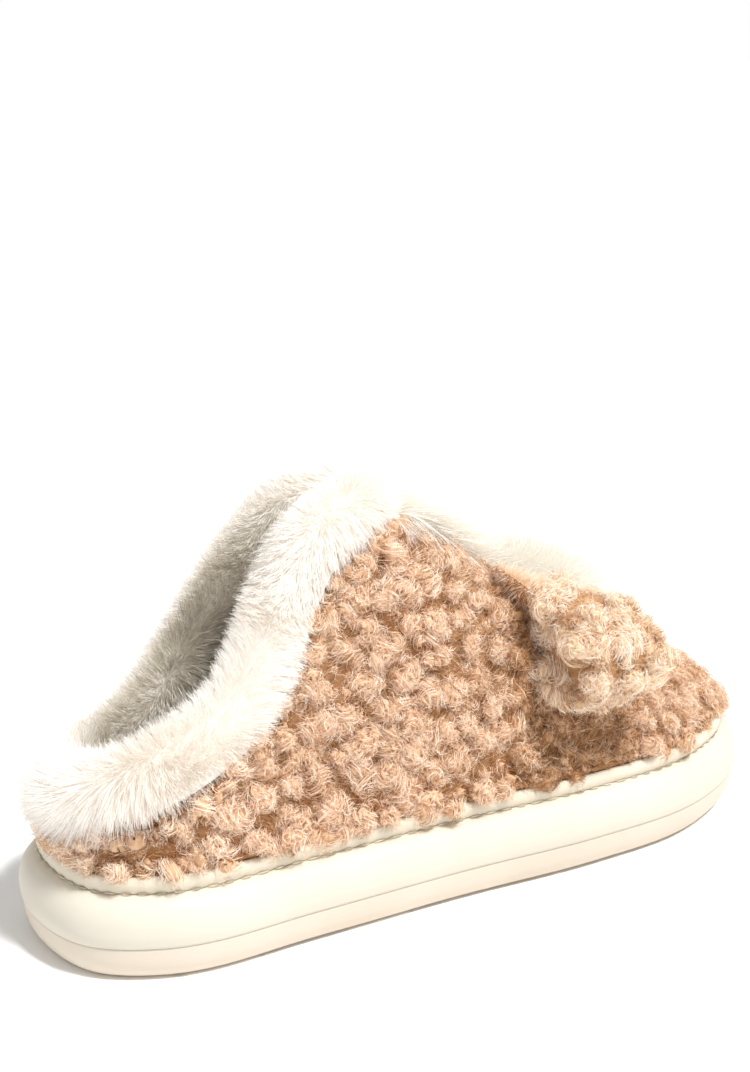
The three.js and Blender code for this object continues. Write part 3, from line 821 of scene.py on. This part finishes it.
def clump_locks(points, normals, size):
    """The locks of rounded, slightly stretched clumps: centres, outward directions, radii."""
    heads = spaced(points, size * CLUMP_SPACING)
    count = len(heads)
    radius = size * random.uniform(0.62, 1.3, count)
    outward = normals[heads]
    foot = np.clip((FOOT_TOP - points[heads, 2]) / FOOT_FADE, 0, 1)
    rear = np.clip((points[heads, 1] - REAR) / REAR_FADE, 0, 1)
    radius = radius * (1 - 0.3 * rear)
    proud = PROUD * random.uniform(0.5, 1.5, count) + OVERHANG * foot - REAR_SINK * rear
    middle = points[heads] - outward * (radius - proud)[:, None]
    first = unit(np.cross(outward, random.normal(size=(count, 3))))
    second = np.cross(outward, first)
    stretch = random.uniform(1.0, 1.65, count)
    centres, ways, radii = [], [], []
    for lobe in range(LOBES):
        polar = random.uniform(*((0, 0.3) if lobe == 0 else (0.7, 1.15)), count)
        angle = 2 * math.pi * lobe / (LOBES - 1) + random.uniform(-0.35, 0.35, count)
        wide, narrow = np.cos(angle) * stretch, np.sin(angle) / stretch
        flat = first * wide[:, None] + second * narrow[:, None]
        way = outward * np.cos(polar)[:, None] + flat * np.sin(polar)[:, None]
        small = radius * random.uniform(0.45, 0.72, count)
        kept = random.random(count) < 0.88
        centres.append((middle + way * (radius - small * 0.75)[:, None])[kept])
        ways.append(unit(way)[kept])
        radii.append(small[kept])
    return np.concatenate(centres), np.concatenate(ways), np.concatenate(radii)


def cover_in_curls(name, skin, body, size, number, tints, core, keep, tone, extra=None):
    """Clumps of curly locks over a skin, small sunk locks between them, and fuzz on them all.

    number is the fibres on a usual lock. keep and tone are functions of places: where the curls
    are, and how pale. extra is the places and outward directions of more clumps, which come
    before the random ones.
    """
    points, normals = skin.scatter(ROOTS * DENSITY, keep)
    plush(f"{name}_undercoat", body, points - normals * UNDERCOAT_SINK, normals, UNDERCOAT,
          UNDERCOAT_WIDTH, UNDER_TINTS, lean=0.9)
    points, normals = skin.scatter(ROOTS, keep)
    if extra is not None:
        points, normals = (np.concatenate(pair) for pair in zip(extra, (points, normals)))
    centres, outward, radius = clump_locks(points, normals, size)
    gaps = spaced(points, size * GAP_SPACING)
    low = GAP_LOCK * random.uniform(0.75, 1.25, len(gaps))
    centres = np.concatenate([centres, points[gaps] - normals[gaps] * (low + 0.5 * MM)[:, None]])
    outward = np.concatenate([outward, normals[gaps]])
    radius = np.concatenate([radius, low])
    locks = Locks(centres, outward, radius)
    lock_cores(f"{name}_cores", body, locks, [core])
    fibres = (number * DENSITY * (radius / USUAL_LOCK) ** 1.1).astype(int)
    curls(f"{name}_curls", body, locks, fibres, tints, tone(centres))
    hairs = int(len(centres) * HAIRS * DENSITY)
    pick = random.integers(0, len(centres), hairs)
    ahead = unit(outward[pick] + random.normal(size=(hairs, 3)) * 0.8)
    roots = centres[pick] + ahead * radius[pick][:, None] * 0.9
    fuzz(f"{name}_fuzz", body, roots, ahead, HAIR, tints)


def beside_band(places):
    """Whether places on the tan shearling are clear of the white band's spreading pile."""
    low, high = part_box("centre_band")
    inside = (places[:, 1] > low.y) & (places[:, 1] < high.y) & (places[:, 2] > low.z)
    return ~(inside & (np.abs(places[:, 0]) < high.x + 0.5 * MM))


def painted_heel_light_and_loop_shadow(places):
    """Painted light, paler towards the heel, and a painted shadow, darker round the bow's loops.
    """
    # painted light: the shearling turns paler towards the heel
    tone = 0.15 + 1.0 * np.clip((places[:, 1] - REAR) / (30 * MM) + 1, 0, 1)
    # painted shadow: the shearling turns darker round and under the bow's loops
    for side in ("right", "left"):
        low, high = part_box(f"{side}_loop_outer")
        middle, half = np.array((low + high) / 2), np.array((high - low) / 2)
        away = np.linalg.norm(((places - middle) / half)[:, :2], axis=1)
        tone -= np.clip(1.6 - away, 0, 0.6) * 3.4
    return tone


# The shearling's tone paints light towards the heel and a shadow round the bow's loops.
cover_in_curls("shearling", shearling, "slipper", CLUMP, FIBRES, TAN_TINTS,
               CORE_TINTS["shearling"], beside_band, painted_heel_light_and_loop_shadow)

# ------------------------------------------------------------------ the bow's loops

NECK_START = 17 * MM  # how far from the middle the smooth neck of a loop comes out of the knot
NECK_END = 33 * MM  # and where it meets the curls
NECK_PILE, NECK_WIDTH, NECK_SINK = 3.2 * MM, 0.17 * MM, 2 * MM
BALL_FOOT = 8 * MM  # the lowest part of the ball, which is painted darker as shade


def mouths(side):
    """Places and directions for the clumps that fill a loop's two open ends."""
    joints = frame["record"]["behaviour"]["joints"]
    axis = unit(np.array(next(j["axis"] for j in joints if j["name"] == f"{side}_loop_lift")))
    outer = arrays_of(frame["nodes"][f"{side}_loop_outer"].data)[0]
    low, high = (np.array(v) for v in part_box(f"{side}_loop_filling"))
    places, ways = [], []
    for share in (0.35, 0.65):
        middle = (low + high) / 2
        middle[0] = low[0] + (high[0] - low[0]) * share
        rim = outer[np.abs(outer[:, 0] - middle[0]) < 5 * MM] - middle
        for reach in ((rim @ axis).min(), (rim @ axis).max()):
            places.append(middle + axis * reach * 0.8)
            ways.append(axis * np.sign(reach))
    return np.array(places), np.array(ways)


def make_loop(side, sign):
    """One loop of the bow: a curly ball at the end of a smooth neck."""
    body = f"{side}_loop"
    nodes = [f"{side}_loop_{part}" for part in ("outer", "lining", "filling")]
    loop = Skin(nodes, body, 1.0 * MM, 14)
    loop_base = loop.base(f"{side}_loop_backing", 2.2 * MM, NECK_SKIN)
    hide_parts(*nodes)
    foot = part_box(f"{side}_loop_outer")[0].z

    def on_ball(places):
        return sign * places[:, 0] > NECK_END

    def on_neck(places):
        return (sign * places[:, 0] < NECK_END + 3 * MM) & (sign * places[:, 0] > NECK_START)

    def painted_underside_shade(places):
        """Painted shade: darker at the very bottom of the ball."""
        return np.clip((places[:, 2] - foot) / BALL_FOOT - 0.8, -0.8, 0) + 0.5

    cover_in_curls(f"{side}_ball", loop, body, BALL_CLUMP, BALL_FIBRES, BALL_TINTS,
                   CORE_TINTS["ball"], on_ball, painted_underside_shade, mouths(side))
    points, normals = loop.scatter(4.5 * DENSITY, on_neck)
    # Painted light and shade: the neck's pile takes paler tints on top and darker ones underneath.
    plush(f"{side}_neck_pile", body, points - normals * NECK_SINK, normals,
          NECK_PILE, NECK_WIDTH, NECK_TINTS, lean=0.3, tuft=1.5 * MM, tone=normals[:, 2] * 1.4)


make_loop("right", -1)
make_loop("left", 1)

# ------------------------------------------------------------------ the white plush

CREST_BINS = 50
INNER_DEPTH = 14 * MM  # how far below its crest the collar's inner pile is painted fully in shade
INNER_BLUR = 0.15
INNER_END = REAR + 20 * MM  # behind this the inside of the collar is as white as its outside
COLLAR_PILE, HEEL_PILE = 5.0 * MM, 2.5 * MM  # the pile's length, and what the heel adds to it
PLUSH_WIDTH = 0.20 * MM


def below_crest(points):
    """How far points of the collar lie below its crest at the same place along the slipper."""
    along = points[:, 1]
    bins = np.digitize(along, np.linspace(along.min(), along.max(), CREST_BINS))
    crest = np.zeros(CREST_BINS + 1)
    np.maximum.at(crest, bins, points[:, 2])
    return crest[bins] - points[:, 2]


def aside(points, node):
    """A sweep away from the middle of a node, which grows to 1 at its sides."""
    share = points[:, 0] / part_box(node)[1].x
    return np.stack([share, 0 * share, 0 * share], axis=1)


collar = Skin(["collar_plush", "collar_core"], "slipper", 1.2 * MM, 10, room=1.0 * MM)
collar_base = collar.base("collar_backing", 3.0 * MM, WHITE_SKIN)
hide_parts("collar_plush", "collar_core")
points, normals = collar.scatter(4.6 * DENSITY)
hub = np.stack([0 * points[:, 0], np.minimum(points[:, 1], REAR)], axis=1)
facing_in = -np.sum(normals[:, :2] * unit(points[:, :2] - hub), axis=1)
depth = below_crest(points) / INNER_DEPTH
blur = random.normal(size=(2, len(points))) * INNER_BLUR
inner = (facing_in + blur[0] > 0.1) & (depth + blur[1] > 0.5) & (points[:, 1] < INNER_END)
rear = np.clip((points[:, 1] - REAR) / (30 * MM), 0, 1)
# painted shade: the collar's inner pile darkens further below its crest
painted_inner_shading = 1.0 - 1.3 * np.minimum(depth, 1.3)
for part, chosen, tints, tone in (
    ("outer", ~inner, WHITE_TINTS, 0.3),
    ("inner", inner, INNER_TINTS, painted_inner_shading[inner]),
):
    roots = (points - normals * 2.8 * MM)[chosen]
    lengths = COLLAR_PILE + HEEL_PILE * rear[chosen]
    plush(f"collar_{part}_pile", "slipper", roots, normals[chosen], lengths,
          0.16 * MM, tints, lean=0.5, sweep=DOWN * (0.3 + 0.7 * rear[chosen])[:, None], tone=tone)

band = Skin(["centre_band"], "slipper", 0.8 * MM, 4, room=0.5 * MM)
band_base = band.base("centre_band_backing", 2 * MM, WHITE_SKIN)
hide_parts("centre_band")
points, normals = band.scatter(6.0 * DENSITY)
plush("centre_band_pile", "slipper", points - normals * 2 * MM, normals,
      12.5 * MM, PLUSH_WIDTH, BRIGHT_TINTS, lean=0.8,
      sweep=aside(points, "centre_band") * 1.3 + DOWN * 0.4, tone=1.2, unruly=0.25)

knot = Skin(["knot_plush", "knot_core"], "slipper", 0.8 * MM, 10)
knot_base = knot.base("knot_backing", 2.5 * MM, WHITE_SKIN)
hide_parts("knot_plush", "knot_core")
points, normals = knot.scatter(5.0 * DENSITY)
plush("knot_pile", "slipper", points - normals * 2.5 * MM, normals, 11.5 * MM,
      PLUSH_WIDTH, BRIGHT_TINTS, lean=0.6, sweep=aside(points, "knot_plush") * 0.8, tone=1.2,
      unruly=0.25)

patch = Skin(["bow_patch"], "slipper", 0.8 * MM, 4, room=0.5 * MM)
patch_base = patch.base("bow_patch_backing", 0.4 * MM, WHITE_SKIN)
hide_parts("bow_patch")
points, normals = patch.scatter(5.0 * DENSITY)
plush("bow_patch_pile", "slipper", points - normals * 0.4 * MM, normals,
      8.0 * MM, PLUSH_WIDTH, BRIGHT_TINTS, lean=0.7, tone=0.4)

lining = Skin(["vamp_lining", "heel_lining", "footbed_plush"], "slipper", 1.2 * MM, 6)
lining_base = lining.base("lining_backing", 1.6 * MM, LINING_SKIN)
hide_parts("vamp_lining", "heel_lining", "footbed_plush")
points, normals = lining.scatter(1.6 * DENSITY)
plush("lining_pile", "slipper", points - normals * 1.6 * MM, normals, 3.4 * MM,
      0.24 * MM, LINING_TINTS, lean=0.7)

# ------------------------------------------------------------------ floor, light and camera

floor_material, floor_shader = new_material("floor", 0.9)
floor_shader.inputs["Base Color"].default_value = (0.93, 0.93, 0.92, 1)
FLOOR = 6.0  # half the floor's side
corners = np.array([[-1, -1, 0], [1, -1, 0], [1, 1, 0], [-1, 1, 0]]) * FLOOR
floor = mesh_object("floor", corners, [[0, 1, 2, 3]], [floor_material])

# The camera stands where the photo's did, behind the slipper's right side.
AZIMUTH, ELEVATION = math.radians(235.685), math.radians(16.155)
CAMERA_PLACE = (-0.456116, 0.324634, 0.267733)
FOCAL_LENGTH, SENSOR_WIDTH = 62.09, 36  # in millimetres
back = Vector((math.sin(AZIMUTH) * math.cos(ELEVATION), -math.cos(AZIMUTH) * math.cos(ELEVATION),
               math.sin(ELEVATION)))
to_right = Vector((math.cos(AZIMUTH), math.sin(AZIMUTH), 0))
upwards = back.cross(to_right)

camera = bpy.data.objects.new("camera", bpy.data.cameras.new("camera"))
bpy.context.scene.collection.objects.link(camera)
camera.location = CAMERA_PLACE
camera.rotation_euler = Matrix((to_right, upwards, back)).transposed().to_euler()
camera.data.sensor_width = SENSOR_WIDTH
camera.data.lens = FOCAL_LENGTH
camera.data.clip_start = 0.01
bpy.context.scene.camera = camera

# The studio's walls are pure white to the camera, and light the slipper more dimly.
WALL_LIGHT = 0.6
world = bpy.data.worlds.new("studio")
bpy.context.scene.world = world
world.use_nodes = True
nodes, links = world.node_tree.nodes, world.node_tree.links
nodes["Background"].inputs["Color"].default_value = (1, 1, 1, 1)
nodes["Background"].inputs["Strength"].default_value = WALL_LIGHT
bright = nodes.new("ShaderNodeBackground")
bright.inputs["Color"].default_value = (1, 1, 1, 1)
seen = nodes.new("ShaderNodeLightPath")
either = nodes.new("ShaderNodeMixShader")
links.new(seen.outputs["Is Camera Ray"], either.inputs["Fac"])
links.new(nodes["Background"].outputs["Background"], either.inputs[1])
links.new(bright.outputs["Background"], either.inputs[2])
links.new(either.outputs["Shader"], nodes["World Output"].inputs["Surface"])

KEY_POWER, KEY_SPREAD = 3.35, math.radians(8)
key = bpy.data.objects.new("key", bpy.data.lights.new("key", "SUN"))
bpy.context.scene.collection.objects.link(key)
key.data.energy = KEY_POWER
key.data.angle = KEY_SPREAD
key_from = to_right * 0.45 + Vector((0, 0, 1)) * 0.95 + back * 0.4
key.rotation_euler = key_from.to_track_quat("Z", "Y").to_euler()
bpy.context.scene.view_settings.view_transform = "Standard"
# Light has to pass between many white fibres, or the plush turns grey.
bpy.context.scene.cycles.max_bounces = 16
bpy.context.scene.cycles.diffuse_bounces = 10
